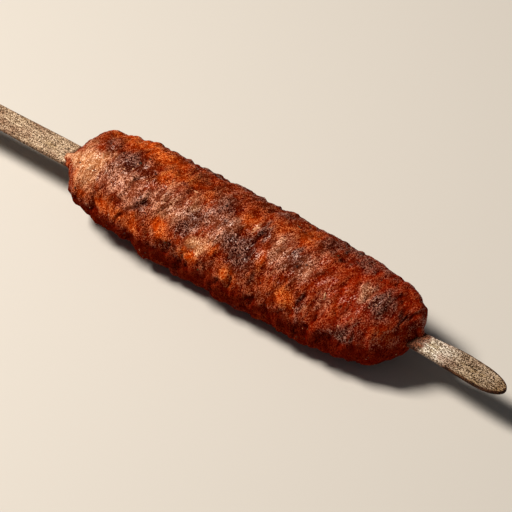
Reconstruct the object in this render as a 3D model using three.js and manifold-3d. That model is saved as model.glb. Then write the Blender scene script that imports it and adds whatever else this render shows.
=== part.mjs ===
// Kofta skewer: seasoned mince pressed by hand round a flat wooden stick, grilled and laid on its side.
// Millimetres, +Z up, +X along the stick from its handle to its tip.
// The origin is the middle of the base of the whole part's box.
import * as THREE from "three";
import { ImprovedNoise } from "three/addons/math/ImprovedNoise.js";
import { mergeVertices } from "three/addons/utils/BufferGeometryUtils.js";
import Module from "manifold-3d";

// Meat
const meatLength = 150;
const meatRadius = 19.4; // half of its thickness where it is fullest
const widthStretch = 1.02; // the section is a little wider than it is high
const heightStretch = 0.975;
const underside = -17.6; // height, from the meat's middle, of the flat that its own weight pressed

// Half thickness along the meat, as shares of its length and of meatRadius. The handle end
// tapers like a blunt cone, as the mince is squeezed down onto the stick there, and the tip end
// is rounder.
const meatProfile = [
  [0, 0],
  [0.006, 0.13],
  [0.028, 0.45],
  [0.065, 0.755],
  [0.14, 0.875],
  [0.27, 0.97],
  [0.45, 1],
  [0.68, 0.995],
  [0.81, 0.945],
  [0.89, 0.845],
  [0.94, 0.72],
  [0.978, 0.43],
  [1, 0],
];

// The hand that pressed it leans: across the stick, in Y and Z, towards the far upper side
const leanDirection = new THREE.Vector2(0.8, 0.6);
const tipSkew = 0.09; // how far the tip end's face leans along the stick, per unit across it
const tipSkewFrom = 0.8; // share of the length where that lean begins
const handleLift = 1.1; // how far the handle end turns up
const handleLiftTo = 0.3; // share of the length where it lies level again

// Relief of the mince: one dent for each finger, and lumps of three sizes
const dentSpacing = 8.7;
const dentPhase = 0.47; // where the first dent lies, as a share of the spacing
const dentDepth = 0.95;
const dentLean = 0.34; // how far a dent leans along the stick, per unit across it
const dentWander = { size: 14, height: 0.25 }; // how far it strays, as a share of the spacing
const dentStrength = { size: 18, height: 0.9 }; // how much deeper or shallower it gets
const dentStrengthMean = 0.65;
const lumps = [
  { size: 17, height: 0.7 },
  { size: 8, height: 0.75 },
  { size: 4.6, height: 0.5 },
];

// Stick
const stickLength = 250;
const tipShown = 37.8; // bare stick past the meat on the tip side
const stickThickness = 1.6;
const stickEdge = 0.4; // rounding of its long edges
const stickRise = 0.6; // height of the stick's middle above the meat's
const slotGap = 0.3; // clearance all round between the stick and the meat
const handleRound = 8; // length over which each end narrows to a half ellipse
const tipRound = 11.5;
const tipSwayFrom = 226; // distance from the handle end where the tip starts to curve aside
const tipSway = 1.3; // how far it has curved, towards -Y, at its end

// Width of the stick at distances from its handle end: broadest where the meat begins, slim
// where it leaves the meat, then flared like a paddle.
const stickWidths = [
  [handleRound, 9.8],
  [32, 10.1],
  [62, 10.8],
  [140, 9.6],
  [213, 8.2],
  [221, 8.9],
  [230, 10.1],
  [stickLength - tipRound, 9.9],
];

// Fineness of the meshes
const rings = 94;
const ringPoints = 50;
const stickSteps = 38; // along the stick between its round ends
const roundSteps = 7; // on each side of a round end
const edgeSteps = 2; // over a rounded edge
const weld = 1e-4; // vertices closer than this are one

const stickStart = -stickLength / 2;
const meatStart = stickLength / 2 - tipShown - meatLength;

const wasm = await Module();
wasm.setup();

// A closed three.js geometry as a solid that can be cut
function toSolid(geometry) {
  const bare = geometry.index ? geometry.toNonIndexed() : geometry.clone();
  bare.deleteAttribute("normal");
  bare.deleteAttribute("uv");
  const welded = mergeVertices(bare, weld);
  return new wasm.Manifold(
    new wasm.Mesh({
      numProp: 3,
      vertProperties: new Float32Array(welded.attributes.position.array),
      triVerts: new Uint32Array(welded.index.array),
    }),
  );
}

// A solid as a three.js geometry again
function toGeometry(solid) {
  const { vertProperties, triVerts } = solid.getMesh();
  const geometry = new THREE.BufferGeometry();
  geometry.setAttribute("position", new THREE.BufferAttribute(vertProperties, 3));
  geometry.setIndex(new THREE.BufferAttribute(triVerts, 1));
  geometry.computeVertexNormals();
  return geometry;
}

// Smooth noise of a given size and height, and unlike that of any other size
const noise = new ImprovedNoise();
function bumps({ size, height }, x, y, z) {
  return height * noise.noise(x / size, y / size + size, z / size);
}

const acrossStick = (y, z) => leanDirection.x * y + leanDirection.y * z;

// Height of the mince's surface above its smooth form, at a point of that form. Between two
// finger dents it rises in a round ridge.
function relief(x, y, z) {
  const turn = (x - dentLean * acrossStick(y, z)) / dentSpacing + dentPhase;
  const ridge = Math.sqrt(Math.abs(Math.cos(Math.PI * (turn + bumps(dentWander, x, y, z)))));
  const ridgeMean = 0.763; // the average of that ridge, so that the dents keep the meat's size
  const strength = dentStrengthMean + bumps(dentStrength, x, y, z);
  const lumpy = lumps.reduce((sum, lump) => sum + bumps(lump, x, y, z), 0);
  return dentDepth * strength * (ridge - ridgeMean) + lumpy;
}

// The mince: rings round the stick's line from the handle end to the tip end, each half a step
// round from the last, so that the triangles are nearly equal-sided.
function meatGeometry() {
  const profile = new THREE.SplineCurve(
    meatProfile.map(([along, out]) => new THREE.Vector2(along * meatLength, out * meatRadius)),
  );
  const positions = [];
  const place = (share, angle) => {
    const { x, y: radius } = profile.getPointAt(share);
    const slope = profile.getTangentAt(share);
    const y = Math.cos(angle) * radius * widthStretch;
    const z = Math.sin(angle) * radius * heightStretch;
    const height = relief(x, y, z);
    const along = x / meatLength;
    const skew = acrossStick(y, z) * tipSkew * THREE.MathUtils.smoothstep(along, tipSkewFrom, 1);
    const lift = handleLift * (1 - THREE.MathUtils.smoothstep(along, 0, handleLiftTo));
    positions.push(
      meatStart + x + skew - slope.y * height,
      y + Math.cos(angle) * slope.x * height,
      z + Math.sin(angle) * slope.x * height + lift,
    );
  };
  place(0, 0);
  for (let ring = 1; ring < rings; ring++) {
    for (let point = 0; point < ringPoints; point++) {
      place(ring / rings, (2 * Math.PI * (point + (ring % 2) / 2)) / ringPoints);
    }
  }
  place(1, 0);

  const index = [];
  const last = positions.length / 3 - 1;
  const at = (ring, point) => 1 + (ring - 1) * ringPoints + (point % ringPoints);
  for (let point = 0; point < ringPoints; point++) {
    index.push(0, at(1, point + 1), at(1, point));
    index.push(last, at(rings - 1, point), at(rings - 1, point + 1));
    for (let ring = 1; ring < rings - 1; ring++) {
      const [a, b] = [at(ring, point), at(ring, point + 1)];
      const [c, d] = [at(ring + 1, point), at(ring + 1, point + 1)];
      if (ring % 2) index.push(a, b, d, a, d, c);
      else index.push(a, b, c, b, d, c);
    }
  }
  const geometry = new THREE.BufferGeometry();
  geometry.setAttribute("position", new THREE.Float32BufferAttribute(positions, 3));
  geometry.setIndex(index);
  return geometry;
}

// One side of the stick's outline, from the point of its handle end to that of its tip end,
// with a margin added all round
function stickSide(margin) {
  const edge = stickWidths.map(([from, width]) => new THREE.Vector2(stickStart + from, width / 2 + margin));
  const [handle, tip] = [edge[0], edge[edge.length - 1]];
  const [handleReach, tipReach] = [handleRound + margin, tipRound + margin];
  const quarter = Math.PI / 2;
  const handleEnd = new THREE.EllipseCurve(handle.x, 0, handleReach, handle.y, 2 * quarter, quarter, true);
  const tipEnd = new THREE.EllipseCurve(tip.x, 0, tipReach, tip.y, quarter, 0, true);
  return [
    ...handleEnd.getPoints(roundSteps).slice(0, -1),
    ...new THREE.SplineCurve(edge).getSpacedPoints(stickSteps),
    ...tipEnd.getPoints(roundSteps).slice(1),
  ];
}

// The flat stick, or, grown by a gap all round, the slot that it needs: its outline drawn at each
// level of its rounded lower and upper edges, then joined from level to level.
function stickGeometry(gap) {
  const levels = [];
  for (let step = 0; step <= edgeSteps; step++) {
    const turn = (step / edgeSteps) * (Math.PI / 2);
    const drop = stickThickness / 2 + gap - stickEdge * (1 - Math.cos(turn));
    levels.push({ margin: gap - stickEdge * (1 - Math.sin(turn)), height: -drop });
  }
  levels.push(...levels.map(({ margin, height }) => ({ margin, height: -height })).reverse());
  const [swayStart, swayEnd] = [stickStart + tipSwayFrom, stickStart + stickLength];
  const sway = (x) => -tipSway * THREE.MathUtils.smoothstep(x, swayStart, swayEnd);

  const positions = [];
  for (const { margin, height } of levels) {
    const side = stickSide(margin);
    const push = (x, y) => positions.push(x, y + sway(x), stickRise + height);
    for (const { x, y } of side) push(x, y);
    for (const { x, y } of side.slice(1, -1).reverse()) push(x, -y);
  }

  const index = [];
  const loop = positions.length / 3 / levels.length; // points round one level
  const ends = loop / 2; // steps from one end's point to the other's
  const top = (levels.length - 1) * loop;
  for (let level = 0; level < levels.length - 1; level++) {
    for (let point = 0; point < loop; point++) {
      const [a, b] = [level * loop + point, level * loop + ((point + 1) % loop)];
      index.push(a, b + loop, b, a, a + loop, b + loop);
    }
  }
  const across = (point) => (loop - point) % loop;
  for (let point = 0; point < ends; point++) {
    const [a, b, c, d] = [point, point + 1, across(point + 1), across(point)];
    if (b !== c) index.push(a, b, c, top + a, top + c, top + b);
    if (a !== d) index.push(a, c, d, top + a, top + d, top + c);
  }
  const geometry = new THREE.BufferGeometry();
  geometry.setAttribute("position", new THREE.Float32BufferAttribute(positions, 3));
  geometry.setIndex(index);
  geometry.computeVertexNormals();
  return geometry;
}

function skewerStick() {
  const wood = new THREE.MeshStandardMaterial({ color: 0xb09a7e, roughness: 0.8, metalness: 0 });
  const mesh = new THREE.Mesh(stickGeometry(0), wood);
  mesh.name = "skewer_stick";
  return mesh;
}

function koftaMeat() {
  const floor = new THREE.BoxGeometry(2 * meatLength, meatLength, meatLength);
  floor.translate(0, 0, underside - meatLength / 2);
  const solid = toSolid(meatGeometry())
    .subtract(toSolid(floor))
    .subtract(toSolid(stickGeometry(slotGap)));
  const browned = new THREE.MeshStandardMaterial({ color: 0x8a3a20, roughness: 0.6, metalness: 0 });
  const mesh = new THREE.Mesh(toGeometry(solid), browned);
  mesh.name = "kofta_meat";
  return mesh;
}

const kofta = new THREE.Group();
kofta.add(koftaMeat(), skewerStick());

// The part stands on Z = 0, with its box centred on the origin
const box = new THREE.Box3().setFromObject(kofta);
const middle = box.getCenter(new THREE.Vector3());
kofta.position.set(-middle.x, -middle.y, -box.min.z);

export default kofta;
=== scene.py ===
"""A kofta skewer: seasoned mince pressed round a flat wooden stick, grilled and laid on its side.

Metres, +Z up, +X along the stick from its handle to its tip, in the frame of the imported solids.
Sizes that are easier to think of in millimetres are written as a number times MM.
"""

import math
import random

import bmesh
import bpy
import numpy as np
from mathutils import Matrix, Vector, noise


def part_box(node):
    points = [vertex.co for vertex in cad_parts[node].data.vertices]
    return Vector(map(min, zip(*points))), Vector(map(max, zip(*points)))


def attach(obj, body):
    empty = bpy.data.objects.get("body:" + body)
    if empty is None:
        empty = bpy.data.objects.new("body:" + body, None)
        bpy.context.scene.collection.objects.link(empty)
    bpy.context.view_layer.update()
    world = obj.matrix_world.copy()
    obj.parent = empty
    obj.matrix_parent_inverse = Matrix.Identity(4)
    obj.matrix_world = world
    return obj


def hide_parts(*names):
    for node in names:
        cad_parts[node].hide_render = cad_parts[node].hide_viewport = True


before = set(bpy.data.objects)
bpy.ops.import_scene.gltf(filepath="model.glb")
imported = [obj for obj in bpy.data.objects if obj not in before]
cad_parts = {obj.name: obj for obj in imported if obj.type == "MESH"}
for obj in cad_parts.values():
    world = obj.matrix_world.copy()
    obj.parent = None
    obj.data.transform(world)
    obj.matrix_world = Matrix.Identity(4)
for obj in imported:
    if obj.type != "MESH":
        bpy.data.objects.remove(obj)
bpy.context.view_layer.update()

MM = 0.001
scene = bpy.context.scene

MEAT_LOW, MEAT_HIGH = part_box("kofta_meat")
STICK_LOW, STICK_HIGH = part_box("skewer_stick")
STICK_MIDDLE = (STICK_LOW + STICK_HIGH) / 2
STICK_RISE = 0.6 * MM  # height of the stick's middle above the line that the mince is pressed round
STICK_EDGE = 0.4 * MM  # rounding of the stick's long edges
HANDLE_ROUND, TIP_ROUND = 8 * MM, 11.5 * MM  # length over which each end narrows to a half ellipse
MEAT_AXIS = Vector((0, 0, STICK_MIDDLE.z - STICK_RISE))  # a point of the mince's line
MEAT_GIRTH = 19 * MM  # radius at which a turn round that line is measured as a length
FULL_TURN = 6.28  # radians


# ---------------------------------------------------------------- small helpers


def smoothstep(low, high, value):
    """0 below low, 1 above high and smooth between, for numbers and arrays."""
    share = np.clip((value - low) / (high - low), 0, 1)
    return share * share * (3 - 2 * share)


def new_object(name, mesh):
    """An object in the scene that shows the mesh."""
    made = bpy.data.objects.new(name, mesh)
    scene.collection.objects.link(made)
    return made


def mesh_from(name, points, faces):
    """A smooth-shaded mesh of points in metres."""
    mesh = bpy.data.meshes.new(name)
    mesh.from_pydata([tuple(p) for p in points], [], faces)
    mesh.shade_smooth()
    mesh.update()
    return mesh


def with_modifier(made, kind, **settings):
    """The object's mesh after one modifier of a kind, with its settings."""
    modifier = made.modifiers.new(kind, kind)
    for setting, value in settings.items():
        setattr(modifier, setting, value)
    bpy.context.view_layer.update()
    shown = made.evaluated_get(bpy.context.evaluated_depsgraph_get())
    mesh = bpy.data.meshes.new_from_object(shown)
    made.modifiers.clear()
    return mesh


def smoothed(made, rounds):
    """The object's mesh after some rounds of smoothing."""
    return with_modifier(made, "SMOOTH", factor=0.5, iterations=rounds)


def points_of(mesh):
    """The mesh's vertices as an array, in metres."""
    flat = np.empty(len(mesh.vertices) * 3, np.float32)
    mesh.vertices.foreach_get("co", flat)
    return flat.reshape(-1, 3).astype(float)


def normals_of(mesh):
    """The direction that each of the mesh's vertices faces, as an array."""
    flat = np.empty(len(mesh.vertices) * 3, np.float32)
    mesh.vertex_normals.foreach_get("vector", flat)
    return flat.reshape(-1, 3).astype(float)


def smoothed_points(made, rounds):
    """Where the vertices of the object's mesh would lie after some rounds of smoothing."""
    mesh = smoothed(made, rounds)
    points = points_of(mesh)
    bpy.data.meshes.remove(mesh)
    return points


def move_points(mesh, points):
    """Gives the mesh's vertices new places."""
    mesh.vertices.foreach_set("co", points.astype(np.float32).ravel())
    mesh.update()


def paint(mesh, name, values):
    """Keeps one number for each vertex in the mesh, for its material to read."""
    layer = mesh.attributes.new(name, "FLOAT", "POINT")
    layer.data.foreach_set("value", np.clip(values, 0, 1).astype(np.float32))


def piece(made, material, replaces=None):
    """Gives a finished piece its material and ties it to the frame."""
    made.data.materials.clear()
    made.data.materials.append(material)
    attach(made, "root")
    if replaces:
        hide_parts(replaces)
    return made


# ---------------------------------------------------------------- material helpers


def linear(colour):
    """An sRGB hex colour as linear red, green, blue and alpha."""
    values = [int(colour[i : i + 2], 16) / 255 for i in (1, 3, 5)]
    return [v / 12.92 if v <= 0.04045 else ((v + 0.055) / 1.055) ** 2.4 for v in values] + [1]


# How a Map Range node that rises smoothly from one value of its input to another is set
EASED = {"interpolation_type": "SMOOTHSTEP"}


def add(tree, kind, inputs=None, stops=None, **settings):
    """Adds a node with its settings and links.

    inputs maps its sockets, by name or by number among those in use, to numbers, hex colours, other
    nodes or their outputs. stops are the places and colours of a colour ramp.
    """
    made = tree.nodes.new("ShaderNode" + kind)
    for setting, value in settings.items():
        setattr(made, setting, value)
    in_use = [socket for socket in made.inputs if socket.enabled]
    for key, value in (inputs or {}).items():
        socket = in_use[key] if isinstance(key, int) else next(s for s in in_use if s.name == key)
        if isinstance(value, bpy.types.Node):
            value = next(output for output in value.outputs if output.enabled)
        if isinstance(value, bpy.types.NodeSocket):
            tree.links.new(value, socket)
        else:
            socket.default_value = linear(value) if isinstance(value, str) else value
    if stops:
        ramp = made.color_ramp.elements
        for place, _ in stops[2:]:
            ramp.new(place)
        for element, (place, colour) in zip(ramp, stops):
            element.position = place
            element.color = linear(colour)
    return made


def new_material(name):
    """An empty material and its tree."""
    material = bpy.data.materials.new(name)
    material.use_nodes = True
    material.node_tree.nodes.clear()
    return material, material.node_tree


def place_in_mm(tree):
    """Where on the object the shader is, in millimetres."""
    place = add(tree, "TexCoord").outputs["Object"]
    return add(tree, "VectorMath", {"Vector": place, "Scale": 1 / MM}, operation="SCALE")


def along_rows(tree, place, *rows):
    """The place measured along other directions, to lean or stretch a pattern."""
    along = [add(tree, "VectorMath", {0: place, 1: row}, operation="DOT_PRODUCT") for row in rows]
    return add(tree, "CombineXYZ", dict(enumerate(along)))


def blend(tree, *parts):
    """The sum of patterns, each times its share."""
    total = 0.0
    for pattern, share in parts:
        total = add(tree, "Math", {0: pattern, 1: share, 2: total}, operation="MULTIPLY_ADD")
    return total


def finish(material, tree, shader_inputs, relief, depth, strength):
    """Ends a material with its shader, whose surface a pattern raises by a depth."""
    bump = add(tree, "Bump", {"Height": relief, "Distance": depth, "Strength": strength})
    shader = add(tree, "BsdfPrincipled", {**shader_inputs, "Normal": bump})
    if "Coat Weight" in shader_inputs:
        tree.links.new(bump.outputs[0], shader.inputs["Coat Normal"])
    add(tree, "OutputMaterial", {"Surface": shader})
    return material


# ---------------------------------------------------------------- the mince's form


def mince_form():
    """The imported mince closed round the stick, with collars of mince where the stick comes out, as one
    even mesh."""
    crumb = 0.5 * MM  # size of the mesh's quads
    rounds = 18  # of smoothing, which take the quads' steps away
    whole = bmesh.new()
    whole.from_mesh(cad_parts["kofta_meat"].data)

    # A plug closes the slot round the stick
    plug_from, plug_to = MEAT_LOW.x + 5.5 * MM, MEAT_HIGH.x - 3.2 * MM
    plug_size = Vector((plug_to - plug_from, 12.2 * MM, 3.4 * MM))
    plug_middle = Vector(((plug_from + plug_to) / 2, STICK_MIDDLE.y, STICK_MIDDLE.z))
    matrix = Matrix.Translation(plug_middle) @ Matrix.Diagonal(plug_size).to_4x4()
    bmesh.ops.create_cube(whole, size=1, matrix=matrix)

    # Lumps of mince that make the collars: their place along the stick and, in millimetres, how far they
    # lie across and up from its middle, and their half sizes
    collars = [
        (MEAT_LOW.x + 3.6 * MM, -0.8, 0.2, (5.4, 6.6, 3.0)),
        (MEAT_LOW.x + 1.6 * MM, -1.6, 0.9, (5.6, 3.4, 2.4)),
        (MEAT_LOW.x + 2.4 * MM, 3.4, 0.0, (2.2, 2.4, 1.8)),
        (MEAT_LOW.x + 3.0 * MM, -4.2, 0.0, (2.4, 2.0, 1.9)),
        (MEAT_HIGH.x - 2.6 * MM, 0.0, 0.0, (2.7, 6.0, 2.9)),
        (MEAT_HIGH.x - 1.6 * MM, 1.6, 0.4, (2.0, 3.6, 2.0)),
    ]
    for x, across, up, size in collars:
        middle = Vector((x, STICK_MIDDLE.y + across * MM, STICK_MIDDLE.z + up * MM))
        matrix = Matrix.Translation(middle) @ Matrix.Diagonal(Vector(size) * MM).to_4x4()
        bmesh.ops.create_icosphere(whole, subdivisions=3, radius=1, matrix=matrix)

    rough = bpy.data.meshes.new("rough_mince")
    whole.to_mesh(rough)
    whole.free()
    made = new_object("kofta_mince", rough)
    made.data = biggest_island(with_modifier(made, "REMESH", mode="VOXEL", voxel_size=crumb))
    made.data = smoothed(made, rounds)
    made.data.shade_smooth()
    return made


def biggest_island(mesh):
    """The mesh without any small closed pockets that remeshing left inside it."""
    whole = bmesh.new()
    whole.from_mesh(mesh)
    whole.verts.ensure_lookup_table()
    island = np.full(len(whole.verts), -1)
    count = 0
    for start in whole.verts:
        if island[start.index] >= 0:
            continue
        island[start.index] = count
        waiting = [start]
        while waiting:
            vertex = waiting.pop()
            for edge in vertex.link_edges:
                other = edge.other_vert(vertex)
                if island[other.index] < 0:
                    island[other.index] = count
                    waiting.append(other)
        count += 1
    if count > 1:
        keep = np.bincount(island).argmax()
        loose = [v for v in whole.verts if island[v.index] != keep]
        bmesh.ops.delete(whole, geom=loose, context="VERTS")
    whole.to_mesh(mesh)
    whole.free()
    return mesh


# ---------------------------------------------------------------- where the grill marked the mince

# A mark on the mince: millimetres from its handle end, degrees round it, from 0 on the far side through
# 90 on top, half sizes along and round it in millimetres, and a strength

# Scorched grey-brown by the flame
SCORCHES = [
    (29, 100, 6.5, 4.5, 0.95),
    (16, 88, 5, 4, 0.6),
    (40, 139, 4, 3.5, 0.6),
    (48, 115, 2, 1.5, 0.5),
    (51, 95, 2.5, 1.5, 0.4),
    (62, 122, 4, 4.5, 0.8),
    (60, 141, 3, 3, 0.8),
    (69, 94, 5, 7, 0.7),
    (73, 111, 2, 3, 0.4),
    (80, 127, 6.5, 5, 0.95),
    (85, 134, 4.5, 6, 0.95),
    (87, 102, 2.5, 6, 0.8),
    (88, 64, 4.5, 4, 0.6),
    (102, 104, 2, 4, 0.5),
    (103, 111, 5.5, 5, 0.65),
    (111, 147, 2.5, 3.5, 0.55),
    (112, 160, 2, 5, 0.5),
    (109, 69, 5, 4.5, 0.6),
    (123, 72, 6, 5, 0.6),
    (130, 55, 5, 5, 0.5),
    (138, 107, 5, 8.5, 0.95),
    (129, 164, 5, 4, 0.8),
    (133, 151, 3, 4, 0.5),
    (147, 85, 3.5, 10, 0.35),
    (117, 52, 9, 4, 0.6),
    (23, 120, 2, 5.5, 0.5),
]

# Covered by fat that set as a pale bloom, and partly a painted sheen: the pale grey-pink of light
# reflected along the top
BLOOM_AND_SHEEN = [
    (25, 122, 6, 6.5, 0.9),
    (33, 129, 4.5, 6, 0.7),
    (36, 143, 3.5, 4, 0.6),
    (34, 116, 3.5, 4, 0.6),
    (43, 126, 4.5, 5.5, 0.7),
    (52, 117, 4.5, 5, 0.6),
    (57, 126, 4, 4.5, 0.75),
    (62, 122, 4.5, 6, 0.75),
    (70, 111, 7.5, 4.5, 0.5),
    (75, 122, 4.5, 5, 1),
    (97, 111, 4.5, 7, 0.95),
    (108, 115, 4.5, 5, 0.9),
    (110, 88, 4, 4, 0.4),
    (131, 104, 3.5, 5.5, 0.8),
    (130, 137, 3.5, 4, 0.35),
    (119, 139, 4, 6, 0.5),
    (80, 130, 4.5, 4.5, 0.4),
    (19, 100, 3.5, 4.5, 0.6),
    (34, 95, 2.5, 3, 0.4),
    (67, 88, 3.5, 4, 0.6),
    (4, 171, 2, 3.5, 0.4),
]

# Least browned, from tan to cream, and partly a painted highlight where the handle end and some bright
# spots face the light
PALE_AND_HIGHLIGHT = [
    (12, 124, 6.5, 6.5, 1),
    (16, 135, 4, 5, 0.6),
    (17, 117, 5, 4, 0.5),
    (4, 128, 3, 5.5, 0.9),
    (-2, 112, 3.5, 12, 0.85),
    (15, 147, 4, 4, 0.45),
    (9, 94, 3, 3.5, 0.45),
    (20, 100, 3, 4, 0.5),
    (67, 149, 4.2, 3, 1),
    (70, 137, 4, 3, 0.5),
    (47, 101, 4, 2.5, 0.45),
    (58, 103, 2.5, 4, 0.45),
    (50, 128, 5, 6, 0.35),
    (54, 141, 4, 3, 0.35),
    (60, 114, 2.5, 4, 0.4),
    (83, 101, 1, 2.5, 0.55),
    (94, 111, 3.5, 6.5, 0.35),
    (130, 105, 2, 5.5, 0.35),
    (119, 137, 2, 6, 0.2),
    (49, 160, 2, 1.5, 0.4),
    (114, 154, 1, 2, 0.4),
]

# Wet with orange oil
GLOWS = [
    (14, 47, 7.5, 4.5, 0.8),
    (38, 70, 8.5, 4, 0.7),
    (26, 58, 9, 5, 0.75),
    (44, 100, 3.5, 3.5, 0.7),
    (50, 86, 5.5, 3, 0.5),
    (62, 94, 3, 2.5, 0.4),
    (79, 98, 3.5, 3.5, 0.55),
    (51, 150, 4, 3, 0.95),
    (40, 164, 2.5, 4, 0.7),
    (65, 163, 4, 3, 0.95),
    (73, 142, 3, 2.5, 0.7),
    (25, 161, 5.5, 3.5, 0.65),
    (14, 160, 3.5, 3.5, 0.5),
    (33, 164, 3.5, 2.5, 0.5),
    (82, 163, 3.5, 3.5, 0.8),
    (92, 128, 2.5, 4, 0.6),
    (92, 88, 4.5, 4.5, 0.35),
    (105, 153, 3.5, 3.5, 0.75),
    (101, 79, 3.5, 7, 0.5),
    (125, 141, 4, 3.5, 0.5),
    (142, 148, 4, 5, 0.65),
    (144, 42, 2.5, 4, 0.35),
    (12, 143, 3, 2.5, 0.7),
]

# Splits and finger creases: their depth and half width in millimetres, and the places they pass
CREASES = [
    (0.55, 1.9, [(33, 167), (37, 153), (41, 140), (44, 130)]),
    (0.45, 2.0, [(87, 94), (88, 112), (86, 130), (89, 144)]),
    (0.45, 1.6, [(112, 141), (110, 152), (108, 163)]),
    (0.45, 1.6, [(73, 60), (75, 42), (74, 30)]),
    (0.40, 1.5, [(127, 128), (125, 140), (127, 150)]),
    (1.00, 3.3, [(63, 173), (60, 184), (57, 200)]),
    (0.90, 3.1, [(93, 172), (92, 181), (90, 194)]),
    (0.80, 3.0, [(115, 174), (113, 183), (111, 198)]),
    (0.80, 3.0, [(123, 174), (121, 183), (119, 196)]),
    (0.80, 2.8, [(40, 177), (37, 190), (34, 206)]),
    (0.70, 2.6, [(78, 176), (76, 186), (74, 202)]),
    (0.60, 1.8, [(55, 162), (55, 176)]),
]

# Where the mince stands fuller or sparer than its even form, and by how many millimetres at most
FULLEST, SPAREST = 2.0, 0.9
FULLER = [
    (22, 38, 5, 8, 0.6),
    (3, 48, 3.5, 9, 0.4),
    (146, 40, 5, 9, 1),
]
SPARER = [
    (33, 214, 5, 6, 1),
    (16, 212, 5, 6, 1),
]

# How noise is squeezed along X, Y and Z for each kind of grain, longer round the stick than along it
STRANDS, SWELLS, GRANULES = (1, 0.42, 0.42), (1, 0.45, 0.45), (1, 0.6, 0.6)

# How high each kind of relief on the mince stands, or how deep it is cut, in millimetres
RELIEF = {
    "swell": 0.7,
    "strand": 0.75,
    "granule": 0.24,
    "grit": 0.10,
    "fuzz": 0.06,
    "nodule": 0.25,
    "pit": 0.45,
}


def around(points):
    """How far each point is along the mince from its handle end and round it from the far side, in
    millimetres."""
    turn = np.arctan2(points[:, 2] - MEAT_AXIS.z, points[:, 1]) % (2 * math.pi)
    return (points[:, 0] - MEAT_LOW.x) / MM, turn * MEAT_GIRTH / MM


def place_round(angle):
    """Degrees round the mince as millimetres round it."""
    return math.radians(angle) * MEAT_GIRTH / MM


def towards_hand(points):
    """How far each point lies towards the far upper side, where the hand that pressed the mince leans."""
    return 0.8 * points[:, 1] + 0.6 * (points[:, 2] - MEAT_AXIS.z)


def patches(along, turned, marks, ragged=0):
    """How strongly a list of marks covers each point, fading out from their middles."""
    begins, full = 1.7, 0.15  # in half sizes from a mark's middle
    bare = np.ones(len(along))
    for x, angle, half_long, half_round, strength in marks:
        reach = np.hypot((along - x) / half_long, (turned - place_round(angle)) / half_round)
        bare *= 1 - strength * smoothstep(begins, full, reach + ragged)
    return 1 - bare


def crease_depth(along, turned, ragged):
    """How deep the splits and creases are at each point, in millimetres."""
    raggedness = 0.8  # how much of the marks' raggedness their edges have
    depth = np.zeros(len(along))
    for deep, half_width, places in CREASES:
        path = np.array([(x, place_round(angle)) for x, angle in places])
        nearest = np.full(len(along), np.inf)
        for (x0, t0), (x1, t1) in zip(path[:-1], path[1:]):
            run = np.array((x1 - x0, t1 - t0))
            share = ((along - x0) * run[0] + (turned - t0) * run[1]) / (run @ run)
            share = np.clip(share, 0, 1)
            off = np.hypot(along - x0 - share * run[0], turned - t0 - share * run[1])
            nearest = np.minimum(nearest, off)
        reach = nearest / half_width + raggedness * ragged
        depth = np.maximum(depth, deep * smoothstep(1, 0, reach))
    return depth


def field(points, size, shift, squeeze=(1, 1, 1)):
    """Smooth noise from about -1 to 1 at each point, with features of a size in millimetres and a shift
    that makes it unlike the others."""
    scaled = points / MM * np.array(squeeze) / size + shift
    return np.array([noise.noise(p) for p in scaled.tolist()])


def cells(points, size, shift, squeeze):
    """How near each point is to the middle of its round cell of a size in millimetres, and how far it is
    from the cell's edge."""
    scaled = points / MM * np.array(squeeze) / size + shift
    found = np.array([noise.voronoi(p)[0][:2] for p in scaled.tolist()])
    return 1 - found[:, 0], found[:, 1] - found[:, 0]


def deepen(made, far_share, near_share, lower_share):
    """Makes the form's finger dents and lumps stand out more, each side by its share of their depth."""
    rounds = 160  # of smoothing, which leave the form without its dents
    mesh = made.data
    points = points_of(mesh)
    change = points - smoothed_points(made, rounds)
    from_ends = np.minimum(points[:, 0] - MEAT_LOW.x, MEAT_HIGH.x - points[:, 0])
    keep = smoothstep(5 * MM, 16 * MM, from_ends) * smoothstep(1 * MM, 5 * MM, points[:, 2])
    low = smoothstep(MEAT_AXIS.z + 2 * MM, MEAT_AXIS.z - 8 * MM, points[:, 2])
    near = smoothstep(5 * MM, -5 * MM, points[:, 1])
    share = far_share + (near_share - far_share) * near
    keep *= share + (lower_share - share) * low
    move_points(mesh, points + change * keep[:, None])


def leant_back(points):
    """The points with the face of the handle end leant back a little on its far upper side."""
    most = 0.7 * MM
    far = smoothstep(2 * MM, 11 * MM, towards_hand(points))
    share = far * smoothstep(15 * MM, 1 * MM, points[:, 0] - MEAT_LOW.x)
    leant = points.copy()
    leant[:, 0] += most * share
    return leant


def grain(smooth, leaning):
    """The height of the mince's grain at each point, in millimetres, and how much of a pit it is."""
    strand_edge = cells(leaning, 4.0, 3.1, STRANDS)[1]
    granule_top, granule_edge = cells(leaning, 2.3, 7.7, GRANULES)
    grit_top = cells(leaning, 1.3, 1.9, GRANULES)[0]
    coarse = 0.5 + 0.5 * smoothstep(-0.35, 0.35, field(smooth, 11, 5.5))
    crumbly = 0.35 + 0.65 * smoothstep(-0.3, 0.3, field(smooth, 6, 9.1))
    swell = field(leaning, 8, 51.0, SWELLS) * RELIEF["swell"]
    nodules = smoothstep(0.36, 0.62, field(leaning, 2.1, 27.0, GRANULES))
    pits = smoothstep(0.44, 0.66, field(leaning, 2.2, 21.0, STRANDS))

    height = swell * smoothstep(9 * MM, 2 * MM, smooth[:, 1])
    height += RELIEF["strand"] * coarse * (smoothstep(0, 0.6, strand_edge) - 0.6)
    height += RELIEF["granule"] * crumbly * (smoothstep(0, 0.42, granule_edge) * 0.6 + granule_top - 0.85)
    height += RELIEF["grit"] * crumbly * (grit_top - 0.55)
    height += RELIEF["fuzz"] * field(smooth, 1.0, 2.2)
    height += RELIEF["nodule"] * nodules - RELIEF["pit"] * pits
    return height, pits


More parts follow.
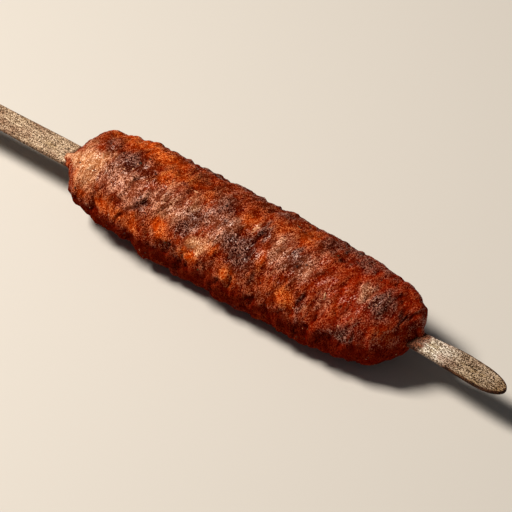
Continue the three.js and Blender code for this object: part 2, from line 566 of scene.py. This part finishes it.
def shape_mince(made):
    """Presses the mince's grain into the form, and paints where it is scorched or oily, where it is pale
    (partly a painted highlight) or under a bloom (partly a painted sheen), and painted shade in its
    hollows and on its lower side.
    """
    deepen(made, far_share=0.3, near_share=1.0, lower_share=1.6)
    mesh = made.data
    facing = normals_of(mesh)
    smooth = leant_back(points_of(mesh))
    # The strands wander by about a millimetre, and lean like the fingers that pressed them
    wandering = np.stack([field(smooth, 7, 11.3 * i) for i in range(3)], axis=1) * 1.1 * MM
    leaning = smooth + wandering
    leaning[:, 0] -= 0.15 * towards_hand(leaning)
    height, pits = grain(smooth, leaning)

    # Marks stray by a millimetre or two from their places and have ragged edges
    along, turned = around(smooth)
    strays = [
        field(leaning, 4.2, 13.0 + shift, STRANDS) * 1.6 + field(leaning, 1.7, 3.0 + shift, STRANDS) * 1.1
        for shift in (0, 4)
    ]
    marked_along, marked_turned = along + strays[0], turned + strays[1]
    ragged = 0.3 * field(leaning, 2.2, 17.0, STRANDS) + 0.22 * field(leaning, 1.1, 19.0, STRANDS)
    creases = crease_depth(marked_along, marked_turned, ragged)
    height -= creases
    height += FULLEST * patches(along, turned, FULLER) - SPAREST * patches(along, turned, SPARER)

    # The flat that it rests on stays flat
    rise = smoothstep(0.15 * MM, 2.2 * MM, smooth[:, 2])
    moved = smooth + facing * (height * rise * MM)[:, None]
    moved[:, 2] = np.maximum(moved[:, 2], 0)
    move_points(mesh, moved)

    # Dents and ridges by comparing the shape with itself once smoothed, at two sizes. The material paints
    # ridges lighter and dents darker, as painted highlight and shade
    proud, crest = (
        ((moved - smoothed_points(made, rounds)) * facing).sum(axis=1) / MM for rounds in (10, 130)
    )
    # Painted shade: the dents, the creases and the pits are painted darker, where shade falls
    hollow_shade = smoothstep(0.0, -0.3, proud) * 0.5 + smoothstep(0.1, -1.0, crest) * 0.5
    hollow_shade += smoothstep(0.05, 0.6, creases) * 0.5 + smoothstep(0.6, 1.2, creases) * 0.2 + 0.3 * pits
    paint(mesh, "hollow_shade", hollow_shade)
    paint(mesh, "proud", 0.5 + proud)
    paint(mesh, "crest", 0.5 + 0.6 * crest)

    # The sides that the lists don't name are marked by chance. For each kind of mark: its list, the size
    # and shift of its noise, the mottle's share in it, and from where, up to where and how much it marks
    unnamed = smoothstep(place_round(196), place_round(212), turned)
    unnamed = np.maximum(unnamed, smoothstep(place_round(58), place_round(44), turned))
    mottle = field(smooth, 3.4, 37.0)
    # The bloom is partly a painted sheen, and the pale marks are partly a painted highlight
    for name, marks, size, shift, mottled, low, high, most in (
        ("scorch", SCORCHES, 9, 31.0, 0.4, 0.05, 0.5, 0.7),
        ("bloom_and_sheen", BLOOM_AND_SHEEN, 12, 47.0, 0.3, 0.1, 0.6, 0.35),
        ("pale_and_highlight", PALE_AND_HIGHLIGHT, 8, 41.0, 0.4, 0.3, 0.7, 0.45),
        ("glow", GLOWS, 10, 43.0, 0.3, 0.1, 0.5, 0.6),
    ):
        chance = smoothstep(low, high, field(smooth, size, shift) + mottled * mottle)
        if name == "scorch":
            chance = chance * smoothstep(148, 134, along)
        listed = patches(marked_along, marked_turned, marks, ragged)
        paint(mesh, name, np.maximum(listed, unnamed * chance * most))

    # Painted shade: the lower side, where little light reaches, is painted dark red. The tip half is
    # painted redder and darker, partly its own colour and partly painted shade on the end that faces away
    # from the light
    lower = smoothstep(place_round(160), place_round(184), marked_turned)
    paint(mesh, "lower", lower * smoothstep(place_round(350), place_round(318), turned))
    paint(mesh, "tipward", smoothstep(91, 141, along))
    return made


# ---------------------------------------------------------------- the stick's form


def stick_line():
    """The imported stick's middle line and half width at places along it, read off its long edges."""
    points = points_of(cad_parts["skewer_stick"].data)
    stations = np.unique(np.round(points[:, 0], 3))
    near = [points[np.abs(points[:, 0] - station) < 1 * MM, 1] for station in stations]
    low, high = np.array([y.min() for y in near]), np.array([y.max() for y in near])
    return stations, (low + high) / 2, (high - low) / 2


def half_width_at(x, stations, half_widths):
    """The stick's half width at a place along it, down to nearly nothing at the point of each end."""
    full_from, full_to = STICK_LOW.x + HANDLE_ROUND, STICK_HIGH.x - TIP_ROUND
    full = np.interp(min(max(x, full_from), full_to), stations, half_widths)
    past = max((full_from - x) / HANDLE_ROUND, (x - full_to) / TIP_ROUND, 0)
    return max(full * math.sqrt(max(1 - past * past, 0)), 0.03 * MM)


def rows_along(count):
    """Places along the stick, closer and closer together towards the point of each end."""
    end_share = 0.07  # share of the rows that go to each round end
    shares = np.linspace(0, 1, count)
    eased = np.where(shares < 0.5, shares, 1 - shares)
    closer = end_share * (1 - np.cos(eased / end_share * math.pi / 2))
    eased = np.where(eased < end_share, closer, eased)
    eased = np.where(shares < 0.5, eased, 1 - eased)
    return STICK_LOW.x + (STICK_HIGH.x - STICK_LOW.x) * eased


def columns_across(steps):
    """Places across the stick, from -1 to 1, that are closer together towards its edges."""
    crowded = 0.35
    return [
        -math.cos(math.pi * i / steps) * crowded + (2 * i / steps - 1) * (1 - crowded)
        for i in range(steps + 1)
    ]


def sawn_relief(x, across, side):
    """How far a sawn face stands proud of its plane, in millimetres: growth lines that run a little
    askew, shallow waves and nicks."""
    askew = across / MM + 0.08 * x / MM
    lines = noise.noise((x / MM / 22, askew / 0.5, side * 3.0))
    waves = noise.noise((x / MM / 7, across / MM / 2.2, side * 7.0))
    nicks = max(noise.noise((x / MM / 3.5, across / MM / 1.3, side * 11.0)) - 0.3, 0)
    return 0.035 * lines + 0.03 * waves - 0.25 * nicks


def stick_form():
    """The stick as a close mesh with its sawn grain: an upper and a lower face that round over into a
    thin edge."""
    stations, middles, half_widths = stick_line()
    half_thickness = (STICK_HIGH.z - STICK_LOW.z) / 2 - 0.04 * MM  # the grain stands up to the full one
    length_steps, width_steps = 620, 44
    acrosses = columns_across(width_steps)

    points, rims, faces = [], [], []
    count = width_steps + 1
    for side in (1, -1):
        start = len(points)
        for x in rows_along(length_steps):
            half_width, middle = half_width_at(x, stations, half_widths), np.interp(x, stations, middles)
            from_end = min(x - STICK_LOW.x, STICK_HIGH.x - x)
            for share in acrosses:
                across = half_width * share
                inset = half_width - abs(across)
                over = max(STICK_EDGE - inset, STICK_EDGE - from_end * 0.7, 0)
                drop = STICK_EDGE - math.sqrt(max(STICK_EDGE**2 - over**2, 0))
                relief = sawn_relief(x, across, side) * MM * min(inset / STICK_EDGE, 1)
                z = STICK_MIDDLE.z + side * (half_thickness - drop + relief)
                wobble = 0.06 * MM * noise.noise((x / MM / 2.5, share * 2, 5.0)) * (share**4)
                points.append((x, middle + across + wobble, z))
                rims.append(smoothstep(1.0 * MM, 0, min(inset, from_end)))
        for i in range(length_steps - 1):
            for j in range(width_steps):
                a = start + i * count + j
                quad = (a, a + count, a + count + 1, a + 1)
                faces.append(quad if side > 0 else quad[::-1])

    # Where the faces meet at their edges and ends
    lower = length_steps * count
    for i in range(length_steps - 1):
        near, far = i * count, i * count + width_steps
        faces.append((near, lower + near, lower + near + count, near + count))
        faces.append((far, far + count, lower + far + count, lower + far))
    last = (length_steps - 1) * count
    for j in range(width_steps):
        faces.append((j, j + 1, lower + j + 1, lower + j))
        faces.append((last + j + 1, last + j, lower + last + j, lower + last + j + 1))
    mesh = mesh_from("skewer_wood", points, faces)
    paint(mesh, "rim", np.array(rims))
    along = np.array(points)[:, 0]
    from_tip = (STICK_HIGH.x - along) / MM
    paint(mesh, "charred", 0.8 * smoothstep(27, 19, from_tip) + 0.2 * smoothstep(7, 1, from_tip))
    from_mince = np.maximum(along - MEAT_HIGH.x, (MEAT_LOW.x - along) * 2.5) / MM
    soaked = field(np.array(points), 1.5, 7.0)  # how far the juices crept, here more and there less
    paint(mesh, "stained", smoothstep(7.0, 2.0, from_mince + 2.5 * soaked))
    paint(mesh, "tipward", along > 0)
    return new_object("skewer_wood", mesh)


# ---------------------------------------------------------------- small things on the mince


class Skin:
    """The mince's finished surface, to lay small things on."""

    def __init__(self, made):
        mesh = made.data
        self.points = points_of(mesh)
        self.facing = normals_of(mesh)
        self.along, self.turned = around(self.points)
        self.marks = {}
        for name in ("hollow_shade", "scorch", "pale_and_highlight"):
            self.marks[name] = np.empty(len(self.points), np.float32)
            mesh.attributes[name].data.foreach_get("value", self.marks[name])

    def at(self, x, angle):
        """The surface point nearest to a place along and round the mince."""
        off = np.hypot(self.along - x, self.turned - place_round(angle))
        return int(off.argmin())


def scatter(count, rng, weight):
    """The numbers of some of the skin's points, drawn by weight."""
    chances = np.cumsum(weight / weight.sum())
    return [int(np.searchsorted(chances, rng.random())) for _ in range(count)]


def laid_on(skin, index, spin, sink):
    """The place and turn of a small thing that lies on the skin at one of its points."""
    up = Vector(skin.facing[index])
    along = up.cross(Vector((0.3, 0.5, 0.8))).normalized()
    turned = Matrix.Rotation(spin, 3, up) @ along
    axes = Matrix((turned, up.cross(turned), up)).transposed().to_4x4()
    return Matrix.Translation(Vector(skin.points[index]) - up * sink) @ axes


def strewn(skin, rng, count, weight, longs, wides, highs, sink):
    """Matrices and half sizes of small lumps that lie on the skin, drawn by weight. Their half lengths
    are in millimetres, and their half widths and heights are shares of those."""
    placed = []
    for index in scatter(count, rng, weight):
        long = rng.uniform(*longs)
        size = (long, long * rng.uniform(*wides), long * rng.uniform(*highs))
        placed.append((laid_on(skin, index, rng.uniform(0, FULL_TURN), sink), size))
    return placed


def lumps(name, placed, rng):
    """One mesh of uneven lumps, each given by its matrix and half sizes in millimetres."""
    unevenness = 0.56  # share of its size by which a lump's surface swells or shrinks
    whole = bmesh.new()
    for matrix, size in placed:
        ball = bmesh.ops.create_icosphere(whole, subdivisions=2, radius=1)["verts"]
        seed = Vector((rng.uniform(0, 90), rng.uniform(0, 90), rng.uniform(0, 90)))
        for vertex in ball:
            swell = 1 + unevenness * noise.noise(vertex.co * 1.3 + seed)
            vertex.co = matrix @ Vector([vertex.co[i] * swell * size[i] * MM for i in range(3)])
    mesh = bpy.data.meshes.new(name)
    whole.to_mesh(mesh)
    whole.free()
    mesh.shade_smooth()
    return new_object(name, mesh)


def char_crumbs(skin, rng):
    """Burnt crumbs that stand on the skin, most of them where it is scorched or hollow."""
    weight = 0.05 + skin.marks["scorch"] ** 2 + 0.25 * skin.marks["hollow_shade"]
    weight[skin.points[:, 2] < 2 * MM] = 0
    placed = strewn(skin, rng, 220, weight, (0.22, 0.62), (0.5, 0.9), (0.35, 0.6), 0.1 * MM)
    return lumps("char_crumbs", placed, rng)


def fat_bits(skin, rng):
    """Small pale bits of fat and onion that the heat left on the surface, and a few longer slivers."""
    weight = 0.08 + skin.marks["pale_and_highlight"] + 0.3 * skin.marks["scorch"]
    weight[skin.points[:, 2] < 4 * MM] = 0
    placed = strewn(skin, rng, 160, weight, (0.2, 0.45), (0.4, 0.8), (0.3, 0.45), 0.08 * MM)
    # The slivers' places, half sizes and turns
    for x, angle, long, wide, spin in (
        (83.4, 101, 2.1, 0.55, 1.2),
        (56, 96, 1.3, 0.4, 0.6),
        (119, 132, 1.5, 0.4, 2.0),
        (17, 108, 1.4, 0.4, 2.6),
    ):
        placed.append((laid_on(skin, skin.at(x, angle), spin, 0.05 * MM), (long, wide, 0.35)))
    return lumps("fat_bits", placed, rng)


def herb_flecks(skin, rng):
    """Flecks of chopped parsley: thin curled scraps, half sunk in the mince."""
    places = ((95, 70), (55, 162), (70, 172), (33, 84), (131, 140), (117, 176))
    weight = (skin.points[:, 2] >= 4 * MM).astype(float)
    spots = [skin.at(x, angle) for x, angle in places] + scatter(10, rng, weight)
    columns, lines = 5, 4
    side = columns * lines
    half_thickness = 0.05
    points, faces = [], []
    for index in spots:
        matrix = laid_on(skin, index, rng.uniform(0, FULL_TURN), -0.04 * MM)
        long, wide = rng.uniform(0.35, 0.7), rng.uniform(0.2, 0.4)
        curl = rng.uniform(-0.35, 0.35)
        start = len(points)
        for layer in (1, -1):
            for i in range(columns):
                for j in range(lines):
                    u, v = 2 * i / (columns - 1) - 1, 2 * j / (lines - 1) - 1
                    jag = 1 - 0.3 * u * u + 0.18 * noise.noise((u * 2 + index, v * 2, layer * 0.1))
                    bend = curl * (u * u + 0.5 * v * v) * long
                    local = Vector((u * long * jag, v * wide * jag, bend + layer * half_thickness)) * MM
                    points.append(matrix @ local)
        for i in range(columns - 1):
            for j in range(lines - 1):
                a = start + i * lines + j
                quad = (a, a + lines, a + lines + 1, a + 1)
                faces.append(quad)
                faces.append(tuple(k + side for k in quad[::-1]))
        rim = [start + j for j in range(lines)]
        rim += [start + i * lines + lines - 1 for i in range(1, columns)]
        rim += [start + (columns - 1) * lines + j for j in range(lines - 2, -1, -1)]
        rim += [start + i * lines for i in range(columns - 2, 0, -1)]
        for a, b in zip(rim, rim[1:] + rim[:1]):
            faces.append((a, b, b + side, a + side))
    return new_object("herb_flecks", mesh_from("herb_flecks", points, faces))


# ---------------------------------------------------------------- materials


# The finishes that meet on the mince, each as the colours of the gaps between its grains, of its body
# and of its grains' tops. The gaps are darkened partly as painted shade and the tops lightened partly as
# painted highlight. The bloom is partly a painted sheen, the pale finish partly a painted highlight, the
# finishes of the lower side and of the hollows are painted shade, and the tip half's is partly painted
# shade
MINCE_FINISHES = {
    "deep": ("#300200", "#521402", "#965030"),
    "brick": ("#4C0200", "#701A00", "#B45A30"),
    "glow": ("#6E1400", "#AC3804", "#E8843E"),
    "tipward": ("#5C0200", "#821600", "#A8441E"),
    "bloom_and_sheen": ("#4A1004", "#84462C", "#DC9C7E"),
    "scorch": ("#180000", "#421408", "#9C6A5A"),
    "pale_and_highlight": ("#82401A", "#C27E50", "#FCCEA6"),
    "lower": ("#360000", "#540800", "#6C1A0A"),
    "hollow_shade": ("#180000", "#340400", "#501A0C"),
}


def grilled_mince():
    """Seasoned mince, grilled over a flame: brick red from paprika, darker and redder between its grains,
    partly as painted shade, and lighter on its grains' tops, partly as painted highlight that gathers on
    ridges. Fat sets as a pale bloom on top, partly a painted sheen, and the least browned parts are pale,
    partly a painted highlight. Painted shade darkens the hollows, the creases and the lower side, and the
    tip half is redder and darker, partly as painted shade. It has grey-brown scorched patches, oily
    orange ones and a film that glistens."""
    material, tree = new_material("grilled_mince")
    place = place_in_mm(tree)
    lean = (1, -0.12, -0.09)  # the strands of mince lean as the fingers pressed them
    leaning = along_rows(tree, place, lean, (0, 0.35, 0), (0, 0, 0.35))
    pressed = along_rows(tree, place, lean, (0, 0.6, 0), (0, 0, 0.6))
    patterns = {}
    # Sizes in millimetres: mince leaves the mincer as granules of about 2 mm and strands of them, which
    # break up into crumbs of 1 mm. Fat beads, wrinkles and spice are finer than a quarter of a
    # millimetre and are drawn as coarse as they need to be seen.
    for name, where, size, detail in (
        ("swirl", place, 7.0, 2),
        ("clump", pressed, 2.2, 2),
        ("strand", leaning, 1.3, 2),
        ("grain", pressed, 0.9, 2),
        ("grit", pressed, 0.26, 0),
        ("crinkle", pressed, 0.53, 1),
    ):
        inputs = {"Vector": where, "Scale": 1 / size, "Detail": detail, "Roughness": 0.6}
        patterns[name] = add(tree, "TexNoise", {**inputs, "Distortion": 0.3})
    swirl, clump, strand, grain, grit, crinkle = patterns.values()
    bead_size = 0.36  # the pattern is the distance from the middle of each bead
    bead = add(tree, "TexVoronoi", {"Vector": pressed, "Scale": 1 / bead_size})

    def marked(name, low=0.05, high=0.95, reach=0.5, most=1.0):
        """How much a painted mark shows, as its edge breaks up into the clumps of the mince."""
        painted = add(tree, "Attribute", attribute_name=name, attribute_type="GEOMETRY").outputs["Fac"]
        rough = blend(tree, (painted, 1), (clump, reach), (grain, 0.5 * reach), (0.75, -reach))
        return add(tree, "MapRange", {0: rough, 1: low, 2: high, 4: most}, **EASED)

    brick = blend(tree, (swirl, 0.7), (clump, 0.3))
    covers = [
        ("brick", add(tree, "MapRange", {0: brick, 1: 0.38, 2: 0.58}, **EASED)),
        ("glow", marked("glow", 0.0, 0.9, 0.6)),
        ("tipward", marked("tipward", most=0.7)),
        ("bloom_and_sheen", marked("bloom_and_sheen")),
        ("scorch", marked("scorch")),
        ("pale_and_highlight", marked("pale_and_highlight", 0.1, 1.25, 0.7)),
        # Painted shade: the lower side and the hollows are painted dark
        ("lower", marked("lower", 0.1, 0.9, 0.3, 0.85)),
        ("hollow_shade", marked("hollow_shade", 0.25, 1.1, 0.3, 0.7)),
    ]
    tones = MINCE_FINISHES["deep"]
    for name, cover in covers:
        both = zip(tones, MINCE_FINISHES[name])
        mixed = [{0: cover, 1: under, 2: over} for under, over in both]
        tones = [add(tree, "Mix", inputs, data_type="RGBA") for inputs in mixed]
    # The gaps' dark colour is partly painted shade between the grains, and the tops' light colour partly
    # painted highlight
    gap_and_shade, body, top_and_highlight = tones

    proud, crest = (
        add(tree, "Attribute", attribute_name=name, attribute_type="GEOMETRY").outputs["Fac"]
        for name in ("proud", "crest")
    )
    # Wrinkles run where the crinkle pattern crosses its middle value, and are stronger where the mince
    # has crumbled. The bare numbers in the sums only bring them back to their middle.
    off_line = add(tree, "Math", {0: blend(tree, (crinkle, 1), (-0.5, 1))}, operation="ABSOLUTE")
    fine = blend(tree, (off_line, -1.25), (bead, -0.18), (grit, 0.35), (0.015, 1))
    crumbled = add(tree, "MapRange", {0: clump, 1: 0.42, 2: 0.60}, **EASED)
    uneven = add(tree, "Math", {0: fine, 1: blend(tree, (crumbled, 1.9), (1.3, 1))}, operation="MULTIPLY")
    # Proud places and crests take the lighter top colour and dents the darker gap colour: painted
    # highlight and shade that follow the relief
    shares = [(uneven, 1), (strand, 0.32), (clump, 0.06), (proud, 0.1), (crest, 0.2), (0.135, 1)]
    rough = blend(tree, *shares)
    risen = add(tree, "MapRange", {0: rough, 1: 0.28, 2: 0.44}, **EASED)
    colour = add(tree, "Mix", {0: risen, 1: gap_and_shade, 2: body}, data_type="RGBA")
    topmost_and_highlight = add(tree, "MapRange", {0: rough, 1: 0.55, 2: 0.72}, **EASED)
    colour = add(tree, "Mix", {0: topmost_and_highlight, 1: colour, 2: top_and_highlight}, data_type="RGBA")
    lit = add(tree, "Math", {0: 1.0, 1: marked("lower", 0.1, 0.9, 0.3)}, operation="SUBTRACT")
    wet = add(tree, "MapRange", {0: rough, 1: 0.60, 2: 0.76, 4: 0.85}, **EASED)
    film = add(tree, "Math", {0: wet, 1: lit}, operation="MULTIPLY")
    inputs = {
        "Base Color": colour,
        "Roughness": 0.6,
        "Specular IOR Level": 0.0,
        "Coat Weight": film,
        "Coat Roughness": 0.32,
    }
    return finish(material, tree, inputs, fine, 0.2 * MM, 0.7)


def bare_birch():
    """Birch, sawn flat and left bare: greyed and dry, its pores open and dirty, with brown edges, browned
    by the fire towards the tip and stained red-brown where the mince touches it."""
    material, tree = new_material("bare_birch")
    place = place_in_mm(tree)
    fibres = along_rows(tree, place, (0.8, 0, 0), (0, 1, 0), (0, 0, 1))
    askew = along_rows(tree, place, (0.07, 0, 0), (0.07, 1, 0), (0, 0, 1))
    broad = along_rows(tree, place, (0.4, 0, 0), (0, 1, 0), (0, 0, 1))
    patterns = {}
    # Sizes in millimetres: birch has growth lines about 1 mm apart, and a sawn stick shows them slightly
    # askew. Its pores and fibres are finer than a tenth of that and are drawn as coarse as they need to
    # be seen.
    for name, where, size, detail in (
        ("fibre", fibres, 0.6, 2),
        ("pore", fibres, 0.38, 1),
        ("growth", askew, 0.8, 3),
        ("blotch", broad, 5.0, 3),
    ):
        inputs = {"Vector": where, "Scale": 1 / size, "Detail": detail, "Roughness": 0.6}
        patterns[name] = add(tree, "TexNoise", inputs)
    fibre, pore, growth, blotch = patterns.values()
    tone = blend(tree, (fibre, 0.3), (pore, 0.6), (growth, 0.22), (-0.06, 1))
    stops = [(0.41, "#3C3026"), (0.465, "#826E5A"), (0.525, "#CAB8A2"), (0.58, "#FFF8EC")]
    colour = add(tree, "ValToRGB", {"Fac": tone}, stops=stops)
    charred, stained, rim, tipward = (
        add(tree, "Attribute", attribute_name=name, attribute_type="GEOMETRY").outputs["Fac"]
        for name in ("charred", "stained", "rim", "tipward")
    )
    handled = add(tree, "Math", {0: 1.0, 1: tipward}, operation="SUBTRACT")
    open_pores = add(tree, "MapRange", {0: tone, 1: 0.53, 2: 0.45}, **EASED)
    burnt_pores = add(tree, "Math", {0: charred, 1: open_pores}, operation="MULTIPLY")
    ruddy = add(tree, "MapRange", {0: blotch, 1: 0.48, 2: 0.66, 4: 0.8}, **EASED)
    straw = add(tree, "MapRange", {0: blotch, 1: 0.50, 2: 0.34, 4: 0.8}, **EASED)
    browned = blend(tree, (charred, 1), (0.55, 1))
    edge = add(tree, "Math", {0: rim, 1: browned}, operation="MULTIPLY", use_clamp=True)
    for share, shade in (
        (ruddy, "#C8B2A8"),
        (straw, "#E2D8BC"),
        (handled, "#DDCCBA"),
        (charred, "#B09A80"),
        (burnt_pores, "#987E60"),
        (blend(tree, (stained, 0.95)), "#8C4E2E"),
        (edge, "#80604A"),
    ):
        inputs = {0: share, 1: colour, 2: shade}
        colour = add(tree, "Mix", inputs, data_type="RGBA", blend_type="MULTIPLY")
    inputs = {"Base Color": colour, "Roughness": 0.88, "Specular IOR Level": 0.15}
    return finish(material, tree, inputs, tone, 0.12 * MM, 0.8)


def speckled(name, dark, light, size, roughness):
    """A small food fragment's finish: two shades of one colour in patches of a size in millimetres, with
    a fine bump."""
    material, tree = new_material(name)
    inputs = {"Vector": place_in_mm(tree), "Scale": 1 / size, "Detail": 2, "Roughness": 0.6}
    mottle = add(tree, "TexNoise", inputs)
    lighter = add(tree, "MapRange", {0: mottle, 1: 0.35, 2: 0.65}, **EASED)
    colour = add(tree, "Mix", {0: lighter, 1: dark, 2: light}, data_type="RGBA")
    inputs = {"Base Color": colour, "Roughness": roughness, "Specular IOR Level": 0.2}
    return finish(material, tree, inputs, mottle, 0.05 * MM, 0.4)


def studio_paper():
    """The pale matt sheet that the food lies on."""
    material, tree = new_material("studio_paper")
    inputs = {"Base Color": "#C9C5BF", "Roughness": 1.0, "Specular IOR Level": 0.0}
    shader = add(tree, "BsdfPrincipled", inputs)
    add(tree, "OutputMaterial", {"Surface": shader})
    return material


# ---------------------------------------------------------------- studio


def floor():
    """A wide pale sheet at the height that the food rests on."""
    half = 3.0  # metres
    corners = [(-half, -half, 0), (half, -half, 0), (half, half, 0), (-half, half, 0)]
    made = new_object("studio_floor", mesh_from("studio_floor", corners, [(0, 1, 2, 3)]))
    made.data.materials.append(studio_paper())


def lamp(name, direction, distance, size, power, colour):
    """A square soft light that shines at the middle of the food from a direction."""
    middle = Vector((0.01, 0, 0.02))
    light = bpy.data.lights.new(name, "AREA")
    light.shape = "SQUARE"
    light.size = size
    light.energy = power
    light.color = linear(colour)[:3]
    made = new_object(name, light)
    away = Vector(direction).normalized()
    made.location = middle + away * distance
    made.rotation_euler = away.to_track_quat("Z", "Y").to_euler()


def studio():
    """The floor, a large soft key light from the handle's side, a weak fill and an even grey surround."""
    floor()
    lamp("key_light", (-0.44, -0.22, 0.82), distance=1.1, size=0.28, power=19.0, colour="#FFF6EA")
    lamp("fill_light", (0.8, -0.3, 0.8), distance=1.6, size=1.2, power=0.6, colour="#F4F7FF")
    world = bpy.data.worlds.new("studio_surround")
    world.use_nodes = True
    surround = world.node_tree.nodes["Background"].inputs
    surround["Color"].default_value = linear("#FFFFFF")
    surround["Strength"].default_value = 0.06
    scene.world = world
    scene.view_settings.view_transform = "Standard"


def camera():
    """Looks down on the food from its near right, from far enough to flatten its perspective."""
    azimuth, elevation, distance = math.radians(36.2), math.radians(47), 1.2
    pixel = 0.354 * MM  # what one pixel covers at the food
    frame_pixels, sensor = 512, 36.0  # the sensor's width is in millimetres
    kept_point = Vector((MEAT_LOW.x + 74.5 * MM, 0, 18 * MM))  # a point in the middle of the mince
    kept_at = (241.5, 246.2)  # and the pixel that it is seen at
    level = math.cos(elevation)
    back = Vector((math.sin(azimuth) * level, -math.cos(azimuth) * level, math.sin(elevation)))
    right = Vector((math.cos(azimuth), math.sin(azimuth), 0))
    up = back.cross(right)
    half = frame_pixels / 2
    aim = kept_point + right * (half - kept_at[0]) * pixel - up * (half - kept_at[1]) * pixel
    lens = bpy.data.cameras.new("camera")
    lens.sensor_width = sensor
    lens.lens = sensor * distance / (frame_pixels * pixel)
    made = new_object("camera", lens)
    turn = Matrix((right, up, back)).transposed().to_4x4()
    made.matrix_world = Matrix.Translation(aim + back * distance) @ turn
    scene.camera = made


# ---------------------------------------------------------------- the whole


def build():
    """The food, piece by piece, and the studio it is seen in."""
    rng = random.Random(7)
    mince = shape_mince(mince_form())
    piece(mince, grilled_mince(), "kofta_meat")
    piece(stick_form(), bare_birch(), "skewer_stick")
    skin = Skin(mince)
    # Mince that the flame burnt to crumbs: nearly black, dry and dull
    char = speckled("burnt_crumb", "#2A0F08", "#54281A", 0.5, 0.8)
    # Fat and onion that melted and browned: tan, with a soft shine
    fat = speckled("rendered_fat", "#A8643E", "#D9A680", 0.6, 0.5)
    # Chopped parsley, dried and charred: a dark olive, slightly oily
    parsley = speckled("charred_parsley", "#1E1A0C", "#3C3A18", 0.5, 0.6)
    piece(char_crumbs(skin, rng), char)
    piece(fat_bits(skin, rng), fat)
    piece(herb_flecks(skin, rng), parsley)
    studio()
    camera()


build()
